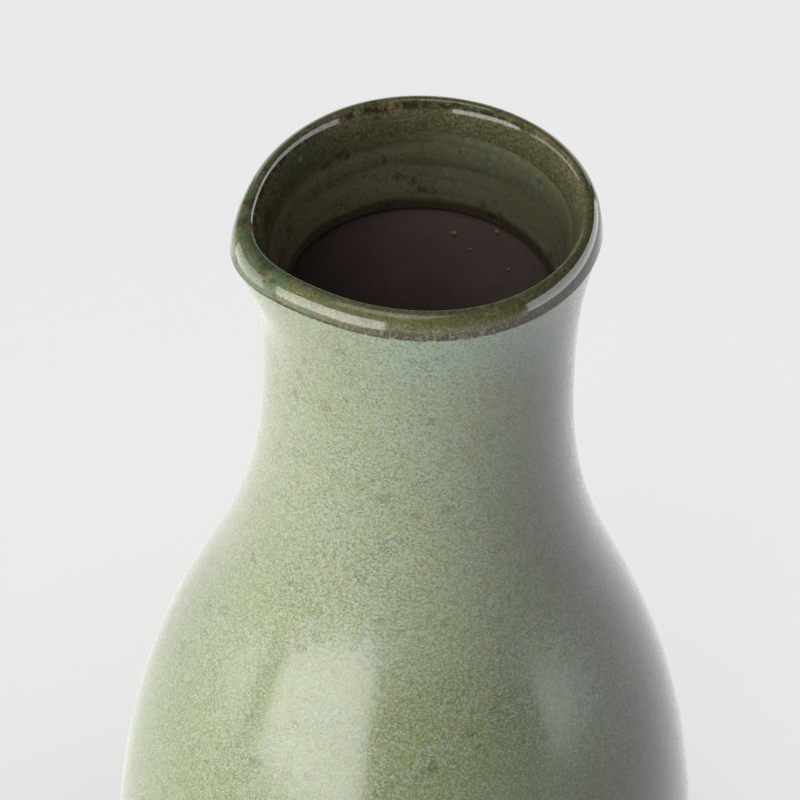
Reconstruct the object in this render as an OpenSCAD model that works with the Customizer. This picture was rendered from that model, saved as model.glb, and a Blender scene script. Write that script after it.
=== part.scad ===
// Sake bottle with a drawn pouring lip: a stoneware vessel under three coats of glaze.
// Millimetres. +Z is up, the origin is the centre of the foot on the table, and the spout points to -X.
// The wall below the neck is turned about Z. Above the neck it is lofted, because the spout leaves the round.

/* [Bottle] */
// Height from the table to the top of the lip
bottle_h = 170; // [145:1:205]
// Diameter of the belly, over the glaze
belly_d = 82.6; // [72:0.2:100]
// Height of the widest part of the belly
belly_z = 41; // [34:1:50]
// Diameter of the neck at its narrowest, over the glaze
neck_d = 40.8; // [34:0.2:49]
// Drop from the top of the lip to the narrowest part of the neck
neck_drop = 27; // [22:1:34]
// Diameter of the mouth over the lip
mouth_d = 46; // [38:0.2:56]

/* [Spout] */
// How far the spout is drawn out past the round of the lip
spout_reach = 3; // [0:0.1:4]
// Width of the spout round the lip at half its reach, in degrees
spout_width = 36; // [24:1:60]
// How far below the lip the draw of the spout begins
spout_fall = 17; // [10:1:20]
// How far the lip is pinched in on each side of the spout
spout_pinch = 0.35; // [0:0.05:0.8]

/* [Clay] */
// Thickness of the clay at the neck
neck_wall = 2.9; // [2.2:0.1:4]
// Thickness of the clay at the lip's widest line
lip_wall = 3; // [2.2:0.1:3.4]
// Thickness of the clay at the belly
belly_wall = 3.6; // [2.8:0.1:5]
// Thickness of the floor over the foot's hollow
floor_wall = 5.2; // [4:0.1:8]

/* [Foot] */
// Outer diameter of the foot ring
foot_d = 54; // [45:0.5:65]
// Width of the foot ring
foot_ring_w = 4.4; // [3:0.1:7]
// Height of the foot ring outside
foot_h = 5; // [3:0.5:8]
// Depth of the hollow inside the foot ring
foot_hollow = 3; // [1:0.5:5]
// Bevel at the ring's edges
foot_bevel = 0.7; // [0.3:0.1:1.2]

/* [Glaze] */
// Thickness of every coat
glaze_t = 0.4; // [0.3:0.05:0.8]
// Height above the table at which the outer coat stops
glaze_stop = 9.5; // [7:0.5:16]
// Drop from the top of the lip to its widest line, where the dark lip coat meets the outer coat
lip_band = 3.1; // [2.4:0.1:4]
// Drop from the top of the lip to the lower edge of the throat coat
throat_drop = 15.5; // [10:0.5:20]
// Drop from the top of the lip to the line inside where the dark lip coat meets the throat coat
lip_round = 4.2; // [3:0.1:5]
// Distance of the lip's crest from its widest line, measured level
crest_in = 2; // [1.6:0.1:2.4]

/* [Hidden] */
$fn = 96;

// Fineness of the curves, and of the loft round the neck.
segments = 96;
curve_steps = 18;
flare_steps = 8;
face_steps = 8;
round_steps = 5;
full_turn = 360;
cut_margin = 10;

clay_colour = [0.36, 0.27, 0.24];
outer_colour = [0.56, 0.67, 0.52];
lip_colour = [0.29, 0.34, 0.16];
throat_colour = [0.25, 0.26, 0.15];
spatter_colour = [0.62, 0.52, 0.16];

belly_r = belly_d / 2;
neck_r = neck_d / 2;
mouth_r = mouth_d / 2;
foot_r = foot_d / 2;
neck_z = bottle_h - neck_drop;
lip_line_z = bottle_h - lip_band;
lip_round_z = bottle_h - lip_round;
throat_stop_z = bottle_h - throat_drop;

// Radii of the bare clay, inside the coats.
belly_bore = belly_r - glaze_t - belly_wall;
neck_bore = neck_r - glaze_t - neck_wall;
mouth_bore = mouth_r - glaze_t - lip_wall;
floor_z = foot_hollow + floor_wall;
foot_bore = foot_r - foot_ring_w;
crest_r = mouth_r - crest_in;

// The curve's handles, as shares of the stretch of height that each one shapes.
shoulder_span = neck_z - belly_z;
belly_handle = 0.6 * shoulder_span;
neck_handle = 0.45 * shoulder_span;
base_handle = 0.5 * (belly_z - foot_h);
floor_lead = 0.74 * belly_bore;
floor_handle = 0.6 * (belly_z - floor_z);
// The wall starts a step outside the foot ring, and sets out at this angle to the table.
base_r = foot_r + 1.5;
base_rise = 34;
base_lead = 0.78 * (belly_r - base_r);
// The neck opens slowly at first, and most just under the lip.
flare_power = 2.5;
// The lip's outer face leans in from its widest line, and runs level over the crest.
face_rise = 0.26 * lip_band;
face_lean = 0.15;
face_crest = 0.8 * crest_in;
// Inside the crest a slope, then the wall: the slope's ends lie this share of the way across, and this high.
round_share = 0.32;
round_fall = 0.55 * lip_round;

// The lofted top is this much thinner on each face than the turned wall that it stands on.
loft_step = 0.03;
// The spout's direction, and its draw inside as a share of that outside.
spout_angle = 180;
spout_inner_share = 0.4;
// The lip is pinched in most at this angle from the spout.
pinch_angle = 62;
pinch_spread = 24;
// A bell curve's width at half its height, in its own spreads.
bell_width = 2.355;

// Splashes of glaze on the bare wall inside: [angle, drop below the throat coat, radius].
splashes = [[52, 4, 0.42], [32, 1.5, 0.38], [44, 6, 0.3], [24, 6.5, 0.3]];
splash_rise = 0.3;
// Gap between the middle of a splash's flat side and the round wall.
splash_gap = 0.02;

function lerp(a, b, t) = a + (b - a) * t;
function reversed(list) = [for (i = [len(list) - 1:-1:0]) list[i]];

// A cubic curve through p and s with handles q and r.
function bezier_at(p, q, r, s, t) =
    pow(1 - t, 3) * p + 3 * t * pow(1 - t, 2) * q + 3 * t * t * (1 - t) * r + pow(t, 3) * s;
function bezier(p, q, r, s, steps = curve_steps) =
    [for (i = [0:steps]) bezier_at(p, q, r, s, i / steps)];
function without_first(list) = [for (i = [1:len(list) - 1]) list[i]];

// From the foot's top to the belly, drawn in by the thickness of a coat.
function base_curve(inset) = bezier(
    [base_r - inset, foot_h],
    [base_r - inset + base_lead * cos(base_rise), foot_h + base_lead * sin(base_rise)],
    [belly_r - inset, belly_z - base_handle],
    [belly_r - inset, belly_z]);

// From the belly up to the neck, between any pair of radii.
function shoulder_curve(low_r, high_r) = bezier(
    [low_r, belly_z],
    [low_r, belly_z + belly_handle],
    [high_r, neck_z - neck_handle],
    [high_r, neck_z]);

function outer_curve(inset) = concat(
    base_curve(inset),
    without_first(shoulder_curve(belly_r - inset, neck_r - inset)));

// From the middle of the floor up the inside of the bare wall to the neck.
function bore_curve() = concat(
    bezier([0, floor_z], [floor_lead, floor_z], [belly_bore, belly_z - floor_handle], [belly_bore, belly_z]),
    without_first(shoulder_curve(belly_bore, neck_bore)));

// How far the neck has opened towards the lip, from 0 at the neck to 1 at the lip line.
function flare(z) = pow(max(0, (z - neck_z) / (lip_line_z - neck_z)), flare_power);

// Section of the top, from the neck's outside over the lip and down the throat, as [radius, height, side].
// side runs from 0 outside to 1 inside. coat is the thickness of glaze over the clay.
function flare_part(coat) = [for (i = [0:flare_steps])
    let (z = lerp(neck_z, lip_line_z, i / flare_steps))
    [lerp(neck_r, mouth_r, flare(z)) - glaze_t + coat, z, 0]];
function lip_part(coat) = [for (p = concat(without_first(lip_face(coat)), without_first(lip_rounding(coat))))
    [p[0], p[1], (mouth_r - p[0]) / (mouth_r - mouth_bore)]];
function lip_face(coat) = bezier(
    [mouth_r - glaze_t + coat, lip_line_z],
    [mouth_r - glaze_t + coat - face_lean, lip_line_z + face_rise],
    [crest_r + face_crest, bottle_h - glaze_t + coat],
    [crest_r, bottle_h - glaze_t + coat], face_steps);
function lip_rounding(coat) =
    let (inner = mouth_bore - coat, lead = round_share * (crest_r - inner))
    bezier(
        [crest_r, bottle_h - glaze_t + coat],
        [crest_r - lead, bottle_h - glaze_t + coat],
        [inner + lead, lip_round_z + round_fall],
        [inner, lip_round_z], round_steps);
function throat_point(z, coat) =
    [lerp(neck_bore, mouth_bore, flare(z - lip_round_z + lip_line_z)) - coat, z, 1];
function throat_part(coat) = [for (i = [1:flare_steps])
    throat_point(lerp(lip_round_z, throat_stop_z, i / flare_steps), coat)];
function throat_bare_part() = [for (i = [1:flare_steps / 2])
    throat_point(lerp(throat_stop_z, neck_z, i / (flare_steps / 2)), 0)];

function top_part(coat) = concat(flare_part(coat), lip_part(coat), throat_part(coat));
function slice(list, first, final) = [for (i = [first:final]) list[i]];
lip_first = flare_steps;
round_last = flare_steps + face_steps + round_steps;
throat_last = len(top_part(0)) - 1;

// The shape of the spout: how far a point of the top is moved outwards.
function turn_from_spout(angle) = abs((angle - spout_angle + 1.5 * full_turn) % full_turn - full_turn / 2);
function bump(angle) = exp(-0.5 * pow(turn_from_spout(angle) / (spout_width / bell_width), 2));
function pinch(angle) = exp(-pow((turn_from_spout(angle) - pinch_angle) / pinch_spread, 2));
function draw_share(z) =
    let (u = min(1, max(0, (z - bottle_h + spout_fall) / (spout_fall - lip_band))))
    u * u * (3 - 2 * u);
function spout_shift(angle, z, side) = draw_share(z)
    * (spout_reach * bump(angle) * lerp(1, spout_inner_share, side) - spout_pinch * pinch(angle));

function placed(p, angle) =
    let (r = p[0] + spout_shift(angle, p[1], p[2]) + loft_step * (2 * p[2] - 1))
    [r * cos(angle), r * sin(angle), p[1]];

// A ring whose section lies between two lines of points. With no back line, the face line closes on itself.
module lofted_ring(face, back = []) {
    n = len(face);
    m = len(back);
    row = n + m;
    points = [for (i = [0:segments - 1]) for (p = concat(face, back)) placed(p, i * full_turn / segments)];
    function at(i, j) = (i % segments) * row + j;
    function quad(i, a, b) = [[at(i, a), at(i, b), at(i + 1, b)], [at(i, a), at(i + 1, b), at(i + 1, a)]];
    function flip(t) = [t[2], t[1], t[0]];
    skin = [for (i = [0:segments - 1]) for (j = [0:n - 2]) for (t = quad(i, j, j + 1)) t];
    lining = [for (i = [0:segments - 1]) for (j = [0:1:m - 2]) for (t = quad(i, n + j, n + j + 1)) flip(t)];
    start = [for (i = [0:segments - 1]) for (t = quad(i, 0, m > 0 ? n : n - 1)) flip(t)];
    end = [for (i = [0:segments - 1]) for (t = quad(i, n - 1, m > 0 ? row - 1 : 0)) t];
    polyhedron(points, concat(skin, lining, start, m > 0 ? end : []), convexity = 6);
}

module turned_clay() {
    rotate_extrude()
        polygon(concat(
            [[0, foot_hollow],
             [foot_bore - foot_bevel, foot_hollow],
             [foot_bore, foot_hollow - foot_bevel],
             [foot_bore, foot_bevel],
             [foot_bore + foot_bevel, 0],
             [foot_r - foot_bevel, 0],
             [foot_r, foot_bevel]],
            outer_curve(glaze_t),
            reversed(bore_curve())));
}

module turned_glaze() {
    difference() {
        rotate_extrude()
            polygon(concat(outer_curve(0), reversed(outer_curve(glaze_t))));
        translate([0, 0, -cut_margin]) cylinder(h = glaze_stop + cut_margin, r = belly_r + cut_margin);
    }
}

module clay_body() {
    color(clay_colour) union() {
        turned_clay();
        lofted_ring(concat(top_part(0), throat_bare_part()));
    }
}

module outer_glaze() {
    color(outer_colour) union() {
        turned_glaze();
        lofted_ring(slice(top_part(glaze_t), 0, lip_first), slice(top_part(0), 0, lip_first));
    }
}

module lip_glaze() {
    color(lip_colour)
        lofted_ring(
            slice(top_part(glaze_t), lip_first, round_last),
            slice(top_part(0), lip_first, round_last));
}

module throat_glaze() {
    color(throat_colour)
        lofted_ring(
            slice(top_part(glaze_t), round_last, throat_last),
            slice(top_part(0), round_last, throat_last));
}

module glaze_spatter() {
    color(spatter_colour)
        for (s = splashes) splash(s[0], s[1], s[2]);
}

// Radius of the bare wall inside, at any height above the floor's corner.
function bare_wall(z) = z < neck_z ? lookup(z, [for (p = bore_curve()) [p[1], p[0]]]) : throat_point(z, 0)[0];

// A low dome with its flat side against the bare wall.
module splash(angle, drop, radius) {
    z = throat_stop_z - drop;
    ball_r = (radius * radius + splash_rise * splash_rise) / (2 * splash_rise);
    lean = atan(bare_wall(z + 1) - bare_wall(z));
    rotate([0, 0, angle]) translate([bare_wall(z) - splash_gap, 0, z]) rotate([0, lean - 90, 0])
        intersection() {
            translate([0, 0, splash_rise - ball_r]) sphere(r = ball_r);
            cylinder(h = ball_r, r = ball_r);
        }
}

clay_body();
outer_glaze();
lip_glaze();
throat_glaze();
glaze_spatter();
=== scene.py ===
import math

import bpy
from mathutils import Matrix, Vector


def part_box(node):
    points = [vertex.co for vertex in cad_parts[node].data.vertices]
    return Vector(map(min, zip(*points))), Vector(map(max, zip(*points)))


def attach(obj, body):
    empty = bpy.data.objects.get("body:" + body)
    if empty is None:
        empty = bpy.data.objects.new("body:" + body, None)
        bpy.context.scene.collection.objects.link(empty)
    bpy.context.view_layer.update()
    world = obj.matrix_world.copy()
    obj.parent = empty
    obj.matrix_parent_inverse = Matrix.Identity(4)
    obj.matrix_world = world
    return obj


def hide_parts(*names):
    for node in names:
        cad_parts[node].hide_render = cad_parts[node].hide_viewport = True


bl_info = {
    "name": "Stoneware Sake Bottle",
    "version": (1, 0, 0),
    "blender": (4, 5, 0),
    "location": "3D View > Sidebar > Sake Bottle",
    "description": "Throws, glazes and lights a stoneware sake bottle round its packed frame",
    "category": "Add Mesh",
}

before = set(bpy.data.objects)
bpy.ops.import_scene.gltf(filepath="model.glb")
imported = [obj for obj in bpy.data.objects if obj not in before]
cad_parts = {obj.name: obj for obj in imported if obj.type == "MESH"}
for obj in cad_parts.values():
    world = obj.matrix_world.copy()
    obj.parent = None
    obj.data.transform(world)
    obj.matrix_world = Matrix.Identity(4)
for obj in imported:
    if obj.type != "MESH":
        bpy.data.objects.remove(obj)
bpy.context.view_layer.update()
OUTER_LOW, OUTER_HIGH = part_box("outer_glaze")
LIP_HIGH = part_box("lip_glaze")[1]
THROAT_LOW, THROAT_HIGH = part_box("throat_glaze")

MM = 0.001
DEGREE = math.pi / 180
UP = Vector((0, 0, 1))


# ---------------------------------------------------------------- sizes and colours


def length(name, text, millimetres):
    """A length that the user can change, given here in millimetres."""
    return bpy.props.FloatProperty(
        name=name, description=text, default=millimetres * MM, unit="LENGTH", precision=5)


def angle(name, text, degrees):
    """An angle that the user can change, given here in degrees."""
    return bpy.props.FloatProperty(
        name=name, description=text, default=degrees * DEGREE, subtype="ANGLE")


def tint(name, text, red, green, blue):
    """A colour that the user can change."""
    return bpy.props.FloatVectorProperty(
        name=name, description=text, default=(red, green, blue), size=3, subtype="COLOR",
        min=0, max=1)


class BottleSizes(bpy.types.PropertyGroup):
    """The vessel's shape. What the frame measures is read from it."""

    height: length("Height", "From the table to the top of the lip", LIP_HIGH.z / MM)
    belly_radius: length("Belly radius", "Radius of the belly over the glaze", OUTER_HIGH.x / MM)
    belly_height: length("Belly height", "Height of the widest part of the belly", 41)
    neck_radius: length("Neck radius", "Narrowest radius of the neck over the glaze", 20.4)
    neck_drop: length("Neck drop", "From the top of the lip to the narrowest part of the neck", 27)
    mouth_radius: length("Mouth radius", "Radius of the lip's widest line", LIP_HIGH.x / MM)
    crest_in: length("Crest inset", "Level distance of the crest from the widest line", 2)
    lip_line: length("Lip line", "Height at which the lip coat meets the outer coat", OUTER_HIGH.z / MM)
    throat_line: length(
        "Throat line", "Height at which the lip coat meets the throat coat", THROAT_HIGH.z / MM)
    throat_end: length("Throat end", "Height of the throat coat's lower edge", THROAT_LOW.z / MM)
    glaze_end: length("Glaze end", "Height at which the outer coat stops above the foot", OUTER_LOW.z / MM)
    coat: length("Coat", "Thickness of every coat of glaze", 0.4)
    neck_wall: length("Neck wall", "Thickness of the clay at the neck", 2.9)
    lip_wall: length("Lip wall", "Thickness of the clay at the lip", 3)
    belly_wall: length("Belly wall", "Thickness of the clay at the belly", 3.6)
    floor_height: length("Floor height", "Height of the floor inside", 8.2)
    foot_radius: length("Foot radius", "Outer radius of the foot ring", 27)
    foot_ring: length("Foot ring width", "Width of the foot ring", 4.4)
    foot_height: length("Foot height", "Height of the foot ring outside", 5)
    foot_hollow: length("Foot hollow", "Depth of the hollow in the foot ring", 3)
    foot_bevel: length("Foot bevel", "Bevel at the ring's edges", 0.7)


class SpoutSizes(bpy.types.PropertyGroup):
    """How the lip is drawn out into a spout, by a cage of points round the mouth."""

    reach: length("Reach", "How far the lip is drawn out at the spout", 3)
    inner_share: bpy.props.FloatProperty(
        name="Inner share", description="Share of the reach that the inside of the lip takes", default=0.4)
    width: angle("Width", "Spread of the spout round the lip, at half its reach", 36)
    fall: length("Fall", "How far below the top the spout begins", 17)
    pinch: length("Pinch", "How far the lip is pressed in beside the spout", 0.35)
    pinch_angle: angle("Pinch angle", "From the spout to where the lip is pressed in", 62)
    pinch_spread: angle("Pinch spread", "Spread of each pressed place", 24)


class GlazeColours(bpy.types.PropertyGroup):
    """Colours of the clay and of the grains that float in the glaze."""

    clay: tint("Clay", "Bare fired clay", 0.235, 0.165, 0.15)
    # The light clay is painted light inside the neck; the dark clay gives both iron-rich grains and
    # painted shade inside the neck.
    clay_painted_light: tint("Light clay", "Clay that faced the fire", 0.50, 0.37, 0.34)
    clay_dark_and_painted_shade: tint("Dark clay", "Iron-rich grains in the clay", 0.10, 0.06, 0.06)
    sage: tint("Sage", "Glassy green between the flecks of the outer coat", 0.207, 0.297, 0.14)
    pale: tint("Pale fleck", "Milky flecks of the outer coat", 0.45, 0.48, 0.345)
    turquoise: tint("Turquoise fleck", "Blue-green flecks, most of them under the lip", 0.32, 0.48, 0.44)
    # Straw is painted light: it makes the key lamp's side of the outer glaze lighter and yellower.
    painted_light_straw: tint("Straw fleck", "Yellow-green of the side that faced the fire", 0.30, 0.35, 0.15)
    moss: tint("Moss grain", "Dark grains of the outer coat", 0.11, 0.165, 0.065)
    olive: tint("Olive", "Glassy olive of the lip and throat", 0.175, 0.18, 0.085)
    olive_pale: tint("Pale olive", "Light grains of the lip and throat", 0.37, 0.37, 0.20)
    # Forest is the lip stripe's colour and also painted shade on the belly.
    forest_and_painted_shade: tint("Forest", "Deep green of the lip's stripe and the belly's pool", 0.09, 0.12, 0.04)
    khaki: tint("Khaki", "Thin brown-olive glaze of the throat", 0.34, 0.30, 0.18)
    bronze: tint("Bronze", "Brown-olive mottling of the lip and throat", 0.31, 0.23, 0.135)
    jade: tint("Jade", "Green pools at the spout", 0.11, 0.20, 0.11)
    cream: tint("Cream", "Sparse pale crystals", 0.55, 0.52, 0.36)
    rust: tint("Rust", "Thin glaze along the coat's lower edge", 0.17, 0.095, 0.05)
    brown: tint("Brown", "Where the glaze breaks over an edge", 0.045, 0.024, 0.014)
    amber: tint("Amber", "Splashes on the bare wall", 0.50, 0.33, 0.05)


class StudioSettings(bpy.types.PropertyGroup):
    """Camera and light."""

    camera_distance: length("Camera distance", "From the middle of the lip's top to the camera", 600)
    camera_bearing: angle("Camera bearing", "Direction of the camera round the bottle", -114)
    camera_height: angle("Camera height", "Height of the camera over the lip", 40.46)
    camera_roll: angle("Camera roll", "Tilt of the camera about its own view", 1.5)
    aim_left: length("Aim left", "How far the camera aims to the left of the axis", 2.2)
    aim_near: length("Aim near", "How far the camera aims before the axis", 16.6)
    aim_below: length("Aim below", "How far the camera aims below the lip's top", 18.8)
    lens: bpy.props.FloatProperty(
        name="Lens", description="Focal length in millimetres", default=213)
    floor_colour: tint("Floor", "Pale studio floor", 0.80, 0.80, 0.80)


GROUPS = (BottleSizes, SpoutSizes, GlazeColours, StudioSettings)


# ---------------------------------------------------------------- the vessel's section


def lerp(a, b, share):
    """The value at a share of the way from a to b."""
    return a + (b - a) * share


def bezier(start, handle_a, handle_b, end, steps):
    """Points of a cubic curve, from start to end, as (radius, height)."""
    points = []
    for i in range(steps + 1):
        t = i / steps
        weights = ((1 - t) ** 3, 3 * t * (1 - t) ** 2, 3 * t * t * (1 - t), t ** 3)
        ends = (start, handle_a, handle_b, end)
        points.append(tuple(sum(w * p[k] for w, p in zip(weights, ends)) for k in (0, 1)))
    return points


# How many steps each stretch of the outline is drawn in, and how many the wheel turns in.
BASE_STEPS = 30
SHOULDER_STEPS = 84
FLARE_STEPS = 22
FACE_STEPS = 14
ROUND_STEPS = 16
THROAT_STEPS = 26
BORE_STEPS = 96
TURNS = 192

# The wall starts a step outside the foot ring, and sets out at this angle to the table.
BASE_STEP_OUT = 1.5 * MM
BASE_RISE = 34 * DEGREE
# Lengths of the curves' handles, as shares of the distance that each curve covers.
BASE_LEAD = 0.78
BELLY_LOW_HANDLE = 0.5
BELLY_HIGH_HANDLE = 0.6
NECK_HANDLE = 0.45
FLOOR_LEAD = 0.74
FLOOR_HANDLE = 0.6
# The neck opens slowly at first, and most just under the lip.
FLARE_POWER = 2.5
# The lip's outer face leans in from its widest line, and runs level over the crest.
FACE_LEAN = 0.15 * MM
FACE_RISE = 0.26
FACE_CREST = 0.8
# Inside the crest a slope, then the wall: where the slope ends, as shares across and up.
ROUND_SHARE = 0.32
ROUND_RISE = 0.55


class Section:
    """The section of the thrown wall. Each stretch can be drawn in or out by a coat of glaze."""

    def __init__(self, sizes):
        self.sizes = sizes
        self.neck_z = sizes.height - sizes.neck_drop
        self.base_radius = sizes.foot_radius + BASE_STEP_OUT
        self.belly_bore = sizes.belly_radius - sizes.coat - sizes.belly_wall
        self.neck_bore = sizes.neck_radius - sizes.coat - sizes.neck_wall
        self.mouth_bore = sizes.mouth_radius - sizes.coat - sizes.lip_wall
        self.crest = sizes.mouth_radius - sizes.crest_in

    def flare(self, z):
        """How far the neck has opened at a height, from 0 at the neck to 1 at the lip line."""
        return max(0, (z - self.neck_z) / (self.sizes.lip_line - self.neck_z)) ** FLARE_POWER

    def base(self, inset):
        """From the top of the foot ring up to the belly."""
        sizes = self.sizes
        start = (self.base_radius - inset, sizes.foot_height)
        lead = BASE_LEAD * (sizes.belly_radius - self.base_radius)
        drop = BELLY_LOW_HANDLE * (sizes.belly_height - sizes.foot_height)
        return bezier(
            start,
            (start[0] + lead * math.cos(BASE_RISE), start[1] + lead * math.sin(BASE_RISE)),
            (sizes.belly_radius - inset, sizes.belly_height - drop),
            (sizes.belly_radius - inset, sizes.belly_height), BASE_STEPS)

    def shoulder(self, low, high, steps):
        """From one radius at the belly up to another at the neck."""
        belly_z = self.sizes.belly_height
        span = self.neck_z - belly_z
        return bezier(
            (low, belly_z), (low, belly_z + BELLY_HIGH_HANDLE * span),
            (high, self.neck_z - NECK_HANDLE * span), (high, self.neck_z), steps)

    def neck(self, inset):
        """From the narrowest part of the neck up to the lip line."""
        sizes = self.sizes
        points = []
        for i in range(FLARE_STEPS + 1):
            z = lerp(self.neck_z, sizes.lip_line, i / FLARE_STEPS)
            points.append((lerp(sizes.neck_radius, sizes.mouth_radius, self.flare(z)) - inset, z))
        return points

    def outside(self, inset):
        """From the top of the foot ring up to the lip line."""
        sizes = self.sizes
        return join(
            self.base(inset),
            self.shoulder(sizes.belly_radius - inset, sizes.neck_radius - inset, SHOULDER_STEPS),
            self.neck(inset))

    def above_foot(self, inset):
        """The part of the outside that the outer coat covers."""
        return [point for point in self.outside(inset) if point[1] >= self.sizes.glaze_end]

    def lip(self, inset):
        """Over the lip, from its widest line outside to the throat line inside."""
        sizes = self.sizes
        top = sizes.height - inset
        outer = sizes.mouth_radius - inset
        rise = FACE_RISE * (sizes.height - sizes.lip_line)
        face = bezier(
            (outer, sizes.lip_line), (outer - FACE_LEAN, sizes.lip_line + rise),
            (self.crest + FACE_CREST * sizes.crest_in, top), (self.crest, top), FACE_STEPS)
        inner = self.mouth_bore - sizes.coat + inset
        lead = ROUND_SHARE * (self.crest - inner)
        slope_end = sizes.throat_line + ROUND_RISE * (sizes.height - sizes.throat_line)
        rounding = bezier(
            (self.crest, top), (self.crest - lead, top),
            (inner + lead, slope_end), (inner, sizes.throat_line), ROUND_STEPS)
        return join(face, rounding)

    def throat_radius(self, z, inset):
        sizes = self.sizes
        share = self.flare(z - sizes.throat_line + sizes.lip_line)
        return lerp(self.neck_bore, self.mouth_bore, share) - sizes.coat + inset

    def throat(self, inset):
        """Down the inside, from the throat line to the coat's lower edge."""
        points = []
        for i in range(THROAT_STEPS + 1):
            z = lerp(self.sizes.throat_line, self.sizes.throat_end, i / THROAT_STEPS)
            points.append((self.throat_radius(z, inset), z))
        return points

    def bore(self):
        """Down the bare wall, from the throat coat to the middle of the floor."""
        sizes = self.sizes
        steps = THROAT_STEPS // 2
        neck = [(self.throat_radius(z, sizes.coat), z)
                for z in (lerp(sizes.throat_end, self.neck_z, i / steps) for i in range(steps + 1))]
        wall = self.shoulder(self.belly_bore, self.neck_bore, BORE_STEPS)
        rise = sizes.belly_height - sizes.floor_height
        bowl = bezier(
            (0, sizes.floor_height), (FLOOR_LEAD * self.belly_bore, sizes.floor_height),
            (self.belly_bore, sizes.belly_height - FLOOR_HANDLE * rise),
            (self.belly_bore, sizes.belly_height), BASE_STEPS)
        return join(neck, wall[::-1], bowl[::-1])

    def foot(self):
        """From the middle of the hollow to the top of the foot ring outside."""
        sizes = self.sizes
        inner = sizes.foot_radius - sizes.foot_ring
        bevel = sizes.foot_bevel
        return [
            (0, sizes.foot_hollow), (inner - bevel, sizes.foot_hollow), (inner, sizes.foot_hollow - bevel),
            (inner, bevel), (inner + bevel, 0), (sizes.foot_radius - bevel, 0), (sizes.foot_radius, bevel)]


def join(*stretches):
    """Stretches end to end, with the shared points taken once."""
    points = list(stretches[0])
    for stretch in stretches[1:]:
        points.extend(stretch[1:])
    return points


# ---------------------------------------------------------------- modelling steps


# A coat thins to this share of itself at its lower edge, over this many times its thickness.
EDGE_SHARE = 0.5
EDGE_HEIGHT = 2


def thinned(face, coat):
    """A coat's face whose first points curve in, so that the coat's edge is thinner."""
    start = face[0][1]
    points = []
    for radius, z in face:
        share = max(0, 1 - (z - start) / (EDGE_HEIGHT * coat)) ** 2
        points.append((radius - EDGE_SHARE * coat * share, z))
    return points


def deselect():
    """Operators act on all that is selected, so nothing may be left selected."""
    bpy.ops.object.select_all(action="DESELECT")


def trace(name, points, closed):
    """An outline drawn point by point in the XZ plane, by extruding one vertex.

    Each point keeps its distance along the outline, which the glazes on it read."""
    deselect()
    bpy.ops.mesh.primitive_plane_add(size=MM)
    piece = bpy.context.object
    piece.name = name
    bpy.ops.object.mode_set(mode="EDIT")
    bpy.ops.mesh.merge(type="CENTER")
    bpy.ops.transform.translate(value=(points[0][0], 0, points[0][1]))
    for (r0, z0), (r1, z1) in zip(points, points[1:]):
        bpy.ops.mesh.extrude_region_move(TRANSFORM_OT_translate={"value": (r1 - r0, 0, z1 - z0)})
    if closed:
        piece.update_from_editmode()
        bpy.ops.mesh.select_all(action="DESELECT")
        bpy.ops.object.mode_set(mode="OBJECT")
        piece.data.vertices[0].select = True
        piece.data.vertices[len(points) - 1].select = True
        bpy.ops.object.mode_set(mode="EDIT")
        bpy.ops.mesh.edge_face_add()
    bpy.ops.object.mode_set(mode="OBJECT")
    mark = piece.data.attributes.new("section", "FLOAT", "POINT")
    mark.data.foreach_set("value", distances(points))
    return piece


def distances(points):
    """Distance of each point along the outline from the outline's highest point."""
    marks = [0]
    for a, b in zip(points, points[1:]):
        marks.append(marks[-1] + math.dist(a, b))
    crest = marks[max(range(len(points)), key=lambda i: points[i][1])]
    return [mark - crest for mark in marks]


# Points nearer than this are one point.
MERGE_BELOW = 0.002 * MM


def throw(name, points, closed=True):
    """A shell of revolution, thrown from its outline as on a wheel."""
    piece = trace(name, points, closed)
    bpy.ops.object.mode_set(mode="EDIT")
    bpy.ops.mesh.select_all(action="SELECT")
    bpy.ops.mesh.spin(steps=TURNS, angle=2 * math.pi, center=(0, 0, 0), axis=UP)
    bpy.ops.mesh.select_all(action="SELECT")
    bpy.ops.mesh.remove_doubles(threshold=MERGE_BELOW)
    bpy.ops.mesh.normals_make_consistent(inside=False)
    bpy.ops.object.mode_set(mode="OBJECT")
    return piece


CAGE_WIDTH = 60 * MM
CAGE_OVER_LIP = 4 * MM
CAGE_UNDER_SPOUT = 5 * MM
CAGE_LEVEL_POINTS = 21
CAGE_HEIGHT_POINTS = 11
# Edges that turn less than this are shaded smooth.
SMOOTH_BELOW = 40 * DEGREE


def smooth_step(value, low, high):
    """0 below low, 1 above high, and smooth between."""
    t = min(1, max(0, (value - low) / (high - low)))
    return t * t * (3 - 2 * t)


def drawn_out(sizes, spout, place):
    """How far a point round the mouth is moved outwards. The spout points to -X."""
    turned = abs(math.atan2(place.y, -place.x))
    radius = math.hypot(place.x, place.y)
    side = min(1, max(0, (sizes.mouth_radius - radius) / (sizes.coat + sizes.lip_wall)))
    reach = spout.reach * lerp(1, spout.inner_share, side)
    hump = math.exp(-4 * math.log(2) * (turned / spout.width) ** 2)
    dip = math.exp(-((turned - spout.pinch_angle) / spout.pinch_spread) ** 2)
    share = smooth_step(place.z, sizes.height - spout.fall, sizes.lip_line)
    return share * (reach * hump - spout.pinch * dip)


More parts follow.
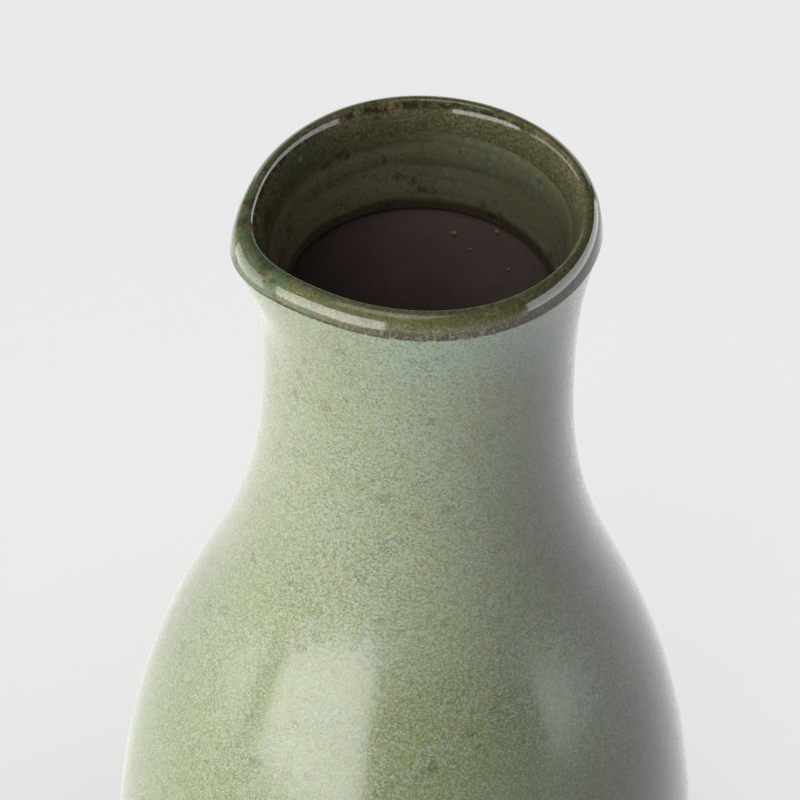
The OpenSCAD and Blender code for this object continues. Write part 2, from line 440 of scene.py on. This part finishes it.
def spout_cage(sizes, spout):
    """A lattice round the mouth, whose points draw the spout out and pinch the lip beside it."""
    deselect()
    bottom = sizes.height - spout.fall - CAGE_UNDER_SPOUT
    height = sizes.height + CAGE_OVER_LIP - bottom
    bpy.ops.object.add(type="LATTICE", location=(0, 0, bottom + height / 2))
    cage = bpy.context.object
    cage.name = "spout_cage"
    cage.scale = (CAGE_WIDTH, CAGE_WIDTH, height)
    cage.data.points_u = cage.data.points_v = CAGE_LEVEL_POINTS
    cage.data.points_w = CAGE_HEIGHT_POINTS
    for point in cage.data.points:
        x, y, z = point.co
        place = Vector((x * CAGE_WIDTH, y * CAGE_WIDTH, bottom + (z + 0.5) * height))
        level = Vector((place.x, place.y, 0))
        if level.length > 0:
            move = drawn_out(sizes, spout, place) / CAGE_WIDTH * level.normalized()
            point.co_deform = point.co + move
    return cage


def draw_spout(piece, sizes, spout):
    """Draws out a piece's part of the spout with the cage, and smooths the piece."""
    cage = spout_cage(sizes, spout)
    deselect()
    piece.select_set(True)
    bpy.context.view_layer.objects.active = piece
    bend = piece.modifiers.new("spout", "LATTICE")
    bend.object = cage
    bpy.ops.object.modifier_apply(modifier=bend.name)
    bpy.ops.object.shade_smooth_by_angle(angle=SMOOTH_BELOW)
    lattice = cage.data
    bpy.data.objects.remove(cage)
    bpy.data.lattices.remove(lattice)


def hand_over(piece, node, material):
    """Gives a finished piece its material and its place in the frame."""
    piece.data.materials.clear()
    piece.data.materials.append(material)
    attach(piece, "root")
    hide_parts(node)


# ---------------------------------------------------------------- materials


class Value:
    """A socket of a material. Arithmetic on it adds Math nodes."""

    def __init__(self, finish, socket):
        self.finish = finish
        self.socket = socket

    def math(self, operation, *terms):
        return self.finish.node("ShaderNodeMath", {"operation": operation}, dict(enumerate(terms)))

    def __add__(self, other):
        return self.math("ADD", self, other)

    def __sub__(self, other):
        return self.math("SUBTRACT", self, other)

    def __rsub__(self, other):
        return self.math("SUBTRACT", other, self)

    def __mul__(self, other):
        return self.math("MULTIPLY", self, other)

    def __truediv__(self, other):
        return self.math("DIVIDE", self, other)

    def __abs__(self):
        return self.math("ABSOLUTE", self)

    def largest(self, other):
        return self.math("MAXIMUM", self, other)

    __radd__ = __add__
    __rmul__ = __mul__


class Finish:
    """One material, built node by node."""

    def __init__(self, name):
        self.material = bpy.data.materials.new(name)
        self.material.use_nodes = True
        self.tree = self.material.node_tree
        self.tree.nodes.clear()
        self.place = self.node("ShaderNodeTexCoord", output="Object")

    def node(self, kind, settings=None, inputs=None, output=0):
        """Adds a node with its settings and inputs, and returns one of its outputs."""
        made = self.tree.nodes.new(kind)
        for name, value in (settings or {}).items():
            setattr(made, name, value)
        for name, value in (inputs or {}).items():
            if isinstance(value, Value):
                self.tree.links.new(value.socket, made.inputs[name])
            else:
                made.inputs[name].default_value = value
        return Value(self, made.outputs[output])

    def noise(self, size, detail=2, roughness=0.5):
        """Soft noise whose blots are about size across."""
        return self.node("ShaderNodeTexNoise", inputs={
            "Vector": self.place, "Scale": 1 / size, "Detail": detail, "Roughness": roughness})

    def noise_along(self, size):
        """Streaks round the wall, about size tall and much longer."""
        streak = self.node("ShaderNodeMapping", inputs={"Vector": self.place, "Scale": (0.08, 0.08, 1)})
        return self.node("ShaderNodeTexNoise", inputs={"Vector": streak, "Scale": 1 / size, "Detail": 2})

    def grains(self, size):
        """A number for each grain of a packing whose grains are about size across."""
        cells = self.node(
            "ShaderNodeTexVoronoi", inputs={"Vector": self.place, "Scale": 1 / size}, output="Color")
        return self.node("ShaderNodeSeparateColor", inputs={"Color": cells})

    def step(self, value, low, high):
        """0 below low, 1 above high, and smooth between."""
        return self.node("ShaderNodeMapRange", {"interpolation_type": "SMOOTHSTEP"}, {
            "Value": value, "From Min": low, "From Max": high})

    def blend(self, share, first, second):
        """A colour between two others."""
        return self.node("ShaderNodeMix", {"data_type": "RGBA"}, {
            0: share, 6: opaque(first), 7: opaque(second)}, output=2)

    def height(self):
        """Height over the table."""
        return self.node("ShaderNodeSeparateXYZ", inputs={"Vector": self.place}, output="Z")

    def towards(self, bearing):
        """Distance from the axis, measured along a level direction."""
        x = math.cos(bearing)
        y = math.sin(bearing)
        return self.node("ShaderNodeVectorMath", {"operation": "DOT_PRODUCT"}, {
            0: self.place, 1: (x, y, 0)}, output="Value")

    def along(self):
        """Distance along the section from the crest of the lip."""
        return self.node("ShaderNodeAttribute", {"attribute_name": "section"}, output="Fac")

    def bump(self, height, depth):
        """Relief whose full height is depth."""
        return self.node("ShaderNodeBump", inputs={"Height": height, "Distance": depth}, output=0)

    def surface(self, **inputs):
        """Closes the material with a Principled shader."""
        shader = self.node("ShaderNodeBsdfPrincipled", inputs={
            name.replace("_", " "): value for name, value in inputs.items()})
        end = self.tree.nodes.new("ShaderNodeOutputMaterial")
        self.tree.links.new(shader.socket, end.inputs["Surface"])
        return self.material


def opaque(colour):
    """A colour as a socket takes it."""
    return colour if isinstance(colour, Value) else (*colour, 1)


# Bearings of what varies round the vessel, whose spout points to 180 degrees.
# Painted light on the outer glaze lies toward this bearing, the side the key lamp faces.
PAINTED_LIGHT_SIDE = -170 * DEGREE
LEE_SIDE = -60 * DEGREE
# Painted shade on the belly lies toward this bearing.
PAINTED_SHADE_SIDE = -86 * DEGREE
FRECKLED_SIDE = -88 * DEGREE
SPOUT_SIDE = 170 * DEGREE
BROKEN_SIDE = 125 * DEGREE
# Painted light inside the throat lies toward this bearing, the wall that the key lamp lights through the
# mouth.
THROAT_LIT_SIDE = 10 * DEGREE
# Painted light and shade on the bare wall inside the neck turn on this bearing.
BORE_LIT_SIDE = 20 * DEGREE


def outer_finish(sizes, colours):
    """Sage glaze full of fine flecks, paler up the neck and bluer under the lip, with painted light on the
    key lamp's side and a patch of painted shade on the belly.
    """
    glaze = Finish("sage_glaze")
    up = glaze.height()
    cloud = glaze.noise(22 * MM, 2)
    patch = glaze.noise(5 * MM, 3)
    fine = glaze.grains(0.17 * MM)
    coarse = glaze.grains(0.28 * MM)
    dust = glaze.noise(0.2 * MM, 3, 0.7)
    neck = glaze.step(up, 60 * MM, 150 * MM)
    # Painted light: the side toward the key lamp is blended lighter and yellower.
    painted_light = glaze.step(glaze.towards(PAINTED_LIGHT_SIDE), -16 * MM, 18 * MM)
    ground = glaze.blend(painted_light * 0.6, colours.sage, colours.painted_light_straw)
    ground = glaze.blend(glaze.step(patch, 0.35, 0.75) * 0.35, ground, colours.moss)
    ground = glaze.blend(glaze.step(dust, 0.42, 0.62) * 0.25, ground, colours.moss)
    # Painted shade: a darker green patch on the belly where the lamps leave a gap in the reflections.
    painted_shade = glaze.step(glaze.towards(PAINTED_SHADE_SIDE), 22 * MM, 38 * MM) * (1 - glaze.step(up, 86 * MM, 108 * MM))
    pale = glaze.step(fine + 0.26 * neck + 0.25 * (cloud - 0.5) + 0.25 * (patch - 0.5), 0.45, 1.05)
    colour = glaze.blend(pale * 0.85, ground, colours.pale)
    under_lip = glaze.step(up, sizes.lip_line - 14 * MM, sizes.lip_line - 3 * MM)
    lee_flecks_and_painted_light = glaze.step(glaze.towards(LEE_SIDE), 2 * MM, 17 * MM)
    blue_share = 0.08 + 0.5 * under_lip * lee_flecks_and_painted_light + 0.3 * (cloud - 0.5) + 0.2 * (patch - 0.5)
    blue = glaze.step(coarse + blue_share, 0.9, 1.0)
    east = glaze.step(glaze.towards(LEE_SIDE), -12 * MM, 12 * MM)
    colour = glaze.blend(blue * (0.2 + 0.5 * east), colour, colours.turquoise)
    dark = glaze.step(1 - coarse + 0.08, 0.93, 1.0)
    colour = glaze.blend(dark * 0.5, colour, colours.moss)
    colour = glaze.blend(painted_shade * 0.42, colour, colours.forest_and_painted_shade)
    rust = glaze.step(glaze.grains(1.3 * MM), 0.975, 0.98) * glaze.step(dust, 0.45, 0.6)
    colour = glaze.blend(rust * 0.6, colour, colours.brown)
    colour = glaze.blend(brown_line(glaze, sizes), colour, colours.brown)
    hem = up - sizes.glaze_end - 2.2 * MM * (patch - 0.35)
    colour = glaze.blend((1 - glaze.step(hem, 0, 0.7 * MM)) * 0.8, colour, colours.rust)
    rough = 0.15 + 0.12 * pale + 0.08 * blue
    return glaze.surface(
        Base_Color=colour, Roughness=rough, Normal=glaze.bump(dust + 0.5 * pale, 0.004 * MM))


def brown_line(glaze, sizes):
    """Brown where the glaze breaks under the lip: a thin dotted line, and freckles over it in front."""
    wander = glaze.noise(6 * MM, 3)
    speck = glaze.noise(0.45 * MM, 3, 0.7)
    front = glaze.step(glaze.towards(FRECKLED_SIDE), 8 * MM, 21 * MM)
    off = glaze.height() - sizes.lip_line - 0.9 * MM * (wander - 0.5)
    dots = glaze.step(speck + 0.4 * (wander - 0.5), 0.42, 0.5)
    line = (1 - glaze.step(abs(off), 0.1 * MM, 0.3 * MM)) * dots
    zone = glaze.step(off, -0.3 * MM, 0.1 * MM) * (1 - glaze.step(off, 0.6 * MM, 1.7 * MM)) * front
    freckles = zone * glaze.step(speck + 0.3 * (wander - 0.5), 0.44, 0.5)
    return (line * 0.95).largest(freckles * 0.9)


def olive_glaze(glaze, colours, base, brown_share):
    """Dark olive glaze, mottled with brown, with light grains. Returns colour and dust."""
    cloud = glaze.noise(6 * MM, 3, 0.6)
    patch = glaze.noise(1.6 * MM, 3, 0.6)
    fine = glaze.grains(0.24 * MM)
    dust = glaze.noise(0.32 * MM, 2)
    share = glaze.step(cloud + 0.5 * (patch - 0.5) + brown_share, 0.4, 0.75)
    colour = glaze.blend(share, base, colours.bronze)
    dark = glaze.step(1 - fine + 0.6 * (patch - 0.5), 0.75, 0.95)
    colour = glaze.blend(dark * 0.45, colour, colours.brown)
    light = glaze.step(fine + 0.6 * (cloud - 0.5), 0.6, 0.95)
    return glaze.blend(light * 0.6, colour, colours.olive_pale), dust


def lip_finish(sizes, colours):
    """Olive lip, greener at the spout, with brown breaks along its crest and its lower edge."""
    glaze = Finish("olive_lip_glaze")
    colour, dust = olive_glaze(glaze, colours, colours.olive, -0.1)
    along = glaze.along()
    outside = 1 - glaze.step(along, -2 * MM, -1 * MM)
    shade = (1 - glaze.step(abs(along + 1.2 * MM), 0.4 * MM, 1.4 * MM)) * 0.35
    colour = glaze.blend(shade, colour, colours.forest_and_painted_shade)
    spout = glaze.step(glaze.towards(SPOUT_SIDE), 8 * MM, 22 * MM)
    blot = glaze.noise(3.2 * MM, 3, 0.6)
    green = glaze.step(glaze.noise(2.4 * MM, 2) + 0.1 * spout, 0.52, 0.66)
    colour = glaze.blend(green * spout * 0.6, colour, colours.jade)
    back = glaze.step(glaze.towards(BROKEN_SIDE), -14 * MM, 4 * MM)
    line = 1 - glaze.step(abs(along - 0.9 * MM - 1.5 * MM * (blot - 0.5)), 0.1 * MM, 0.8 * MM)
    broken = glaze.step(glaze.noise(1.1 * MM, 3, 0.65), 0.42, 0.56)
    colour = glaze.blend(line * back * broken * 0.85, colour, colours.brown)
    smudge = glaze.step(blot + 0.12 * spout, 0.62, 0.72)
    colour = glaze.blend(smudge * 0.5, colour, colours.brown)
    colour = glaze.blend(brown_line(glaze, sizes) * outside, colour, colours.brown)
    colour = glaze.blend(pale_crystals(glaze), colour, colours.cream)
    return glaze.surface(Base_Color=colour, Roughness=0.09, Normal=glaze.bump(dust, 0.002 * MM))


def pale_crystals(glaze):
    """Sparse pale crystals, a little under a millimetre wide."""
    cells = glaze.node("ShaderNodeTexVoronoi", inputs={"Vector": glaze.place, "Scale": 1 / (3.2 * MM)})
    chosen = glaze.step(glaze.grains(3.2 * MM), 0.80, 0.82)
    return chosen * (1 - glaze.step(cells, 0.08, 0.16)) * 0.7


def throat_finish(sizes, colours):
    """Brown-olive throat with faint throwing rings and a dark lower rim, and painted light on the wall
    that the key lamp lights through the mouth.
    """
    glaze = Finish("olive_throat_glaze")
    deep = glaze.step(glaze.along(), 0, 3 * MM)
    colour, dust = olive_glaze(glaze, colours, glaze.blend(deep, colours.olive, colours.khaki), 0)
    up = glaze.height()
    wander = glaze.noise(6 * MM, 3)
    height = up - sizes.throat_end + 1.2 * MM * (wander - 0.5)
    # Painted light: the wall lit through the mouth is blended paler, and the turquoise crystals are kept
    # to that side.
    lee_flecks_and_painted_light = glaze.step(glaze.towards(THROAT_LIT_SIDE), 2 * MM, 17 * MM)
    colour = glaze.blend(lee_flecks_and_painted_light * 0.6, colour, colours.olive_pale)
    crystals = glaze.step(glaze.grains(0.5 * MM) + 0.12 * lee_flecks_and_painted_light, 0.97, 1.0) * lee_flecks_and_painted_light
    colour = glaze.blend(crystals * 0.5, colour, colours.turquoise)
    rim = 1 - glaze.step(height, 0.9 * MM, 2.2 * MM)
    colour = glaze.blend(rim * 0.75, colour, colours.brown)
    smudge = glaze.step(glaze.noise(3.6 * MM, 3, 0.6), 0.60, 0.68)
    colour = glaze.blend(smudge * 0.5, colour, colours.brown)
    ring = glaze.noise_along(2.4 * MM)
    colour = glaze.blend(glaze.step(ring, 0.5, 0.7) * 0.25, colour, colours.olive_pale)
    colour = glaze.blend((1 - glaze.step(ring, 0.3, 0.5)) * 0.3, colour, colours.brown)
    return glaze.surface(
        Base_Color=colour, Roughness=0.15, Normal=glaze.bump(ring + 0.02 * dust, 0.2 * MM))


def clay_finish(colours):
    """Bare brown clay with grains, pits and scratches; inside the neck, painted light on the side the key
    lamp lights and painted shade on the other side.
    """
    clay = Finish("bare_clay")
    grain = clay.noise(0.5 * MM, 4, 0.65)
    blot = clay.noise(9 * MM, 3)
    colour = clay.blend(clay.step(blot, 0.3, 0.7) * 0.4, colours.clay, colours.clay_dark_and_painted_shade)
    colour = clay.blend(clay.step(grain, 0.45, 0.75) * 0.5, colour, colours.clay_dark_and_painted_shade)
    pit = clay.step(clay.noise(0.7 * MM, 1), 0.70, 0.76)
    colour = clay.blend(pit * 0.7, colour, colours.brown)
    scratch = clay.step(clay.noise_along(0.5 * MM), 0.68, 0.74) * clay.step(blot, 0.5, 0.6)
    colour = clay.blend(scratch * 0.3, colour, colours.cream)
    # Painted light and shade inside the neck: lighter on the side the key lamp lights, darker on the other
    # side.
    inside = clay.step(clay.height(), 134 * MM, 146 * MM)
    lee_flecks_and_painted_light = clay.step(clay.towards(BORE_LIT_SIDE), -4 * MM, 16 * MM)
    colour = clay.blend(lee_flecks_and_painted_light * inside * 0.2, colour, colours.clay_painted_light)
    colour = clay.blend((1 - lee_flecks_and_painted_light) * inside * 0.45, colour, colours.clay_dark_and_painted_shade)
    return clay.surface(Base_Color=colour, Roughness=0.85, Normal=clay.bump(grain - pit, 0.03 * MM))


def splash_finish(colours):
    """Amber glaze that turns brown in blots."""
    glaze = Finish("amber_splash")
    blot = glaze.noise(0.3 * MM, 2)
    colour = glaze.blend(glaze.step(blot, 0.4, 0.7), colours.amber, colours.bronze)
    return glaze.surface(Base_Color=colour, Roughness=0.25)


def floor_finish(colour):
    """Pale paper with a faint haze."""
    floor = Finish("studio_floor")
    haze = floor.noise(0.6, 2)
    tone = floor.blend(haze * 0.03, colour, (0.72, 0.72, 0.73))
    return floor.surface(Base_Color=tone, Roughness=0.9)


# ---------------------------------------------------------------- operators


class SAKE_OT_clay_body(bpy.types.Operator):
    """Throws the bare clay: foot ring, wall, lip and floor in one piece"""

    bl_idname = "sake.clay_body"
    bl_label = "Clay Body"

    def execute(self, context):
        scene = context.scene
        sizes = scene.sake_sizes
        section = Section(sizes)
        outline = join(
            section.foot() + section.outside(sizes.coat), section.lip(sizes.coat),
            section.throat(sizes.coat), section.bore())
        piece = throw("thrown_clay", outline, closed=False)
        draw_spout(piece, sizes, scene.sake_spout)
        hand_over(piece, "clay_body", clay_finish(scene.sake_colours))
        return {"FINISHED"}


class SAKE_OT_coats(bpy.types.Operator):
    """Lays the three coats of glaze on the clay"""

    bl_idname = "sake.coats"
    bl_label = "Coats of Glaze"

    def execute(self, context):
        scene = context.scene
        sizes = scene.sake_sizes
        colours = scene.sake_colours
        section = Section(sizes)
        coats = (
            ("sage_coat", "outer_glaze", "sage_glaze", outer_finish(sizes, colours),
             thinned(section.above_foot(0), sizes.coat), section.above_foot(sizes.coat)),
            ("lip_coat", "lip_glaze", "olive_lip_glaze", lip_finish(sizes, colours),
             section.lip(0), section.lip(sizes.coat)),
            ("throat_coat", "throat_glaze", "olive_throat_glaze", throat_finish(sizes, colours),
             section.throat(0), section.throat(sizes.coat)),
        )
        for name, node, slot, material, face, back in coats:
            piece = throw(name, face + back[::-1])
            draw_spout(piece, sizes, scene.sake_spout)
            hand_over(piece, node, material)
        return {"FINISHED"}


# bearing in degrees, distance below the throat coat and radius in millimetres
SPLASHES = ((52, 4, 0.42), (32, 1.5, 0.38), (44, 6, 0.3), (24, 6.5, 0.3))

# Gap between a splash's flat side and the round wall.
SPLASH_GAP = 0.02 * MM
# A splash's height as a share of its radius, and how uneven it is.
SPLASH_RISE = 0.5
SPLASH_WOBBLE = 0.08


class SAKE_OT_splashes(bpy.types.Operator):
    """Drops small splashes of glaze on the bare wall under the throat coat"""

    bl_idname = "sake.splashes"
    bl_label = "Splashes"

    def execute(self, context):
        scene = context.scene
        sizes = scene.sake_sizes
        section = Section(sizes)
        drops = []
        for number, (bearing, drop, radius) in enumerate(SPLASHES):
            z = sizes.throat_end - drop * MM
            wall = section.throat_radius(z, sizes.coat) - SPLASH_GAP
            drops.append(splash(number, bearing * DEGREE, wall, z, radius * MM))
        deselect()
        for piece in drops:
            piece.select_set(True)
        bpy.context.view_layer.objects.active = drops[0]
        bpy.ops.object.join()
        drops[0].name = "splashes"
        hand_over(drops[0], "glaze_spatter", splash_finish(scene.sake_colours))
        return {"FINISHED"}


def splash(number, bearing, wall, z, radius):
    """An uneven low dome whose flat side lies on the wall."""
    deselect()
    out = Vector((math.cos(bearing), math.sin(bearing), 0))
    place = wall * out + z * UP
    turn = (-out).to_track_quat("Z", "Y").to_euler()
    bpy.ops.mesh.primitive_uv_sphere_add(
        segments=32, ring_count=20, radius=radius, location=place, rotation=turn,
        scale=(1, 1, SPLASH_RISE))
    piece = bpy.context.object
    bpy.ops.object.mode_set(mode="EDIT")
    bpy.ops.mesh.select_all(action="SELECT")
    bpy.ops.transform.vertex_random(offset=SPLASH_WOBBLE * radius, seed=number)
    bpy.ops.mesh.vertices_smooth(factor=0.5, repeat=4)
    bpy.ops.mesh.bisect(plane_co=place, plane_no=out, use_fill=True, clear_outer=True)
    bpy.ops.object.mode_set(mode="OBJECT")
    bpy.ops.object.transform_apply()
    return piece


FLOOR_WIDTH = 8
# The faint light of the room itself.
ROOM_COLOUR = (0.8, 0.8, 0.8)
ROOM_LIGHT = 0.05

# name, bearing, height over the table, distance, tilt, width, height, radiance, colour, only shines;
# lengths in metres. A panel that only shines shows in the glaze and adds nothing to its own colour.
PANELS = (
    ("key", -155 * DEGREE, 0.14, 0.55, 0, 0.48, 0.27, 6.9, (1, 0.95, 0.94), False),
    ("left_card", 148 * DEGREE, 0.13, 0.40, 0, 0.36, 0.24, 3.0, (1, 1, 1), False),
    ("right_card", -11 * DEGREE, 0.20, 0.60, 0, 1.02, 0.40, 3.8, (0.96, 0.98, 1), True),
    ("back_card", 65 * DEGREE, 0.25, 0.90, 0, 1.00, 0.50, 1.2, (1, 1, 1), False),
    ("table_glow", 0, 0.102, 0.10, -90 * DEGREE, 1.60, 1.60, 0.5, (0.98, 0.97, 1), True),
    ("overhead", -140 * DEGREE, 0.17, 0.80, 66 * DEGREE, 0.50, 0.50, 2.2, (1, 1, 1), False),
)
FLOOR_PANEL = ("floor_light", 0, 0, 2.50, 90 * DEGREE, 3.00, 3.00, 3.25, (1, 1, 1), False)


class SAKE_OT_studio(bpy.types.Operator):
    """Sets up the floor, the lights and the camera"""

    bl_idname = "sake.studio"
    bl_label = "Studio"

    def execute(self, context):
        scene = context.scene
        settings = scene.sake_studio
        deselect()
        bpy.ops.mesh.primitive_plane_add(size=FLOOR_WIDTH)
        floor = context.object
        floor.name = "studio_floor"
        floor.data.materials.append(floor_finish(settings.floor_colour))
        floor.visible_diffuse = False
        vessel = gather("lit_vessel", (bpy.data.objects[name] for name in PIECES))
        for panel in PANELS:
            add_panel(vessel, *panel)
        floor_light = add_panel(gather("lit_floor", (floor,)), *FLOOR_PANEL)
        floor_light.visible_glossy = False
        add_camera(settings, scene.sake_sizes.height)
        world = bpy.data.worlds.new("studio")
        world.use_nodes = True
        room = world.node_tree.nodes["Background"]
        room.inputs["Color"].default_value = opaque(ROOM_COLOUR)
        room.inputs["Strength"].default_value = ROOM_LIGHT
        scene.world = world
        scene.view_settings.view_transform = "Standard"
        return {"FINISHED"}


def add_panel(lit, name, bearing, stand, distance, tilt, width, height, radiance, colour, shines):
    """A soft panel of light that faces the bottle and lights only what is in lit."""
    level = Vector((math.cos(bearing), math.sin(bearing), 0))
    way = math.cos(tilt) * level + math.sin(tilt) * UP
    bpy.ops.object.light_add(type="AREA", location=stand * UP + distance * way)
    panel = bpy.context.object
    panel.name = name
    panel.rotation_euler = way.to_track_quat("Z", "Y").to_euler()
    lamp = panel.data
    lamp.shape = "RECTANGLE"
    lamp.size = width
    lamp.size_y = height
    lamp.energy = radiance * math.pi * width * height
    lamp.color = colour
    panel.visible_camera = False
    panel.visible_diffuse = not shines
    panel.light_linking.receiver_collection = lit
    return panel


def gather(name, pieces):
    """A collection that only says what a light falls on."""
    lit = bpy.data.collections.new(name)
    for piece in pieces:
        lit.objects.link(piece)
    return lit


SENSOR_WIDTH = 36
NEAR_CLIP = 0.01


def add_camera(settings, top):
    """The camera stands over the bottle and aims just before its neck."""
    rim = top * UP
    level = settings.camera_height
    out = Vector((math.cos(settings.camera_bearing), math.sin(settings.camera_bearing), 0))
    place = rim + settings.camera_distance * (math.cos(level) * out + math.sin(level) * UP)
    right = UP.cross(out)
    aim = rim - settings.aim_left * right + settings.aim_near * out - settings.aim_below * UP
    bpy.ops.object.camera_add(location=place)
    camera = bpy.context.object
    camera.name = "camera"
    roll = Matrix.Rotation(settings.camera_roll, 3, "Z")
    turn = (place - aim).to_track_quat("Z", "Y").to_matrix() @ roll
    camera.rotation_euler = turn.to_euler()
    camera.data.lens = settings.lens
    camera.data.sensor_width = SENSOR_WIDTH
    camera.data.clip_start = NEAR_CLIP
    bpy.context.scene.camera = camera


class SAKE_PT_panel(bpy.types.Panel):
    """Lists the bottle's sizes, colours and steps"""

    bl_idname = "SAKE_PT_panel"
    bl_label = "Sake Bottle"
    bl_space_type = "VIEW_3D"
    bl_region_type = "UI"
    bl_category = "Sake Bottle"

    def draw(self, context):
        for group in (context.scene.sake_sizes, context.scene.sake_spout,
                      context.scene.sake_colours, context.scene.sake_studio):
            box = self.layout.box()
            for name in group.__annotations__:
                box.prop(group, name)
        for step in STEPS:
            self.layout.operator(step.bl_idname)


PIECES = ("thrown_clay", "sage_coat", "lip_coat", "throat_coat", "splashes")
STEPS = (SAKE_OT_clay_body, SAKE_OT_coats, SAKE_OT_splashes, SAKE_OT_studio)
CLASSES = (*GROUPS, *STEPS, SAKE_PT_panel)


def register():
    for made in CLASSES:
        bpy.utils.register_class(made)
    bpy.types.Scene.sake_sizes = bpy.props.PointerProperty(type=BottleSizes)
    bpy.types.Scene.sake_spout = bpy.props.PointerProperty(type=SpoutSizes)
    bpy.types.Scene.sake_colours = bpy.props.PointerProperty(type=GlazeColours)
    bpy.types.Scene.sake_studio = bpy.props.PointerProperty(type=StudioSettings)


def unregister():
    del bpy.types.Scene.sake_studio
    del bpy.types.Scene.sake_colours
    del bpy.types.Scene.sake_spout
    del bpy.types.Scene.sake_sizes
    for made in reversed(CLASSES):
        bpy.utils.unregister_class(made)


def main():
    """Builds the bottle and its studio."""
    register()
    bpy.ops.sake.clay_body()
    bpy.ops.sake.coats()
    bpy.ops.sake.splashes()
    bpy.ops.sake.studio()


if __name__ == "__main__":
    main()
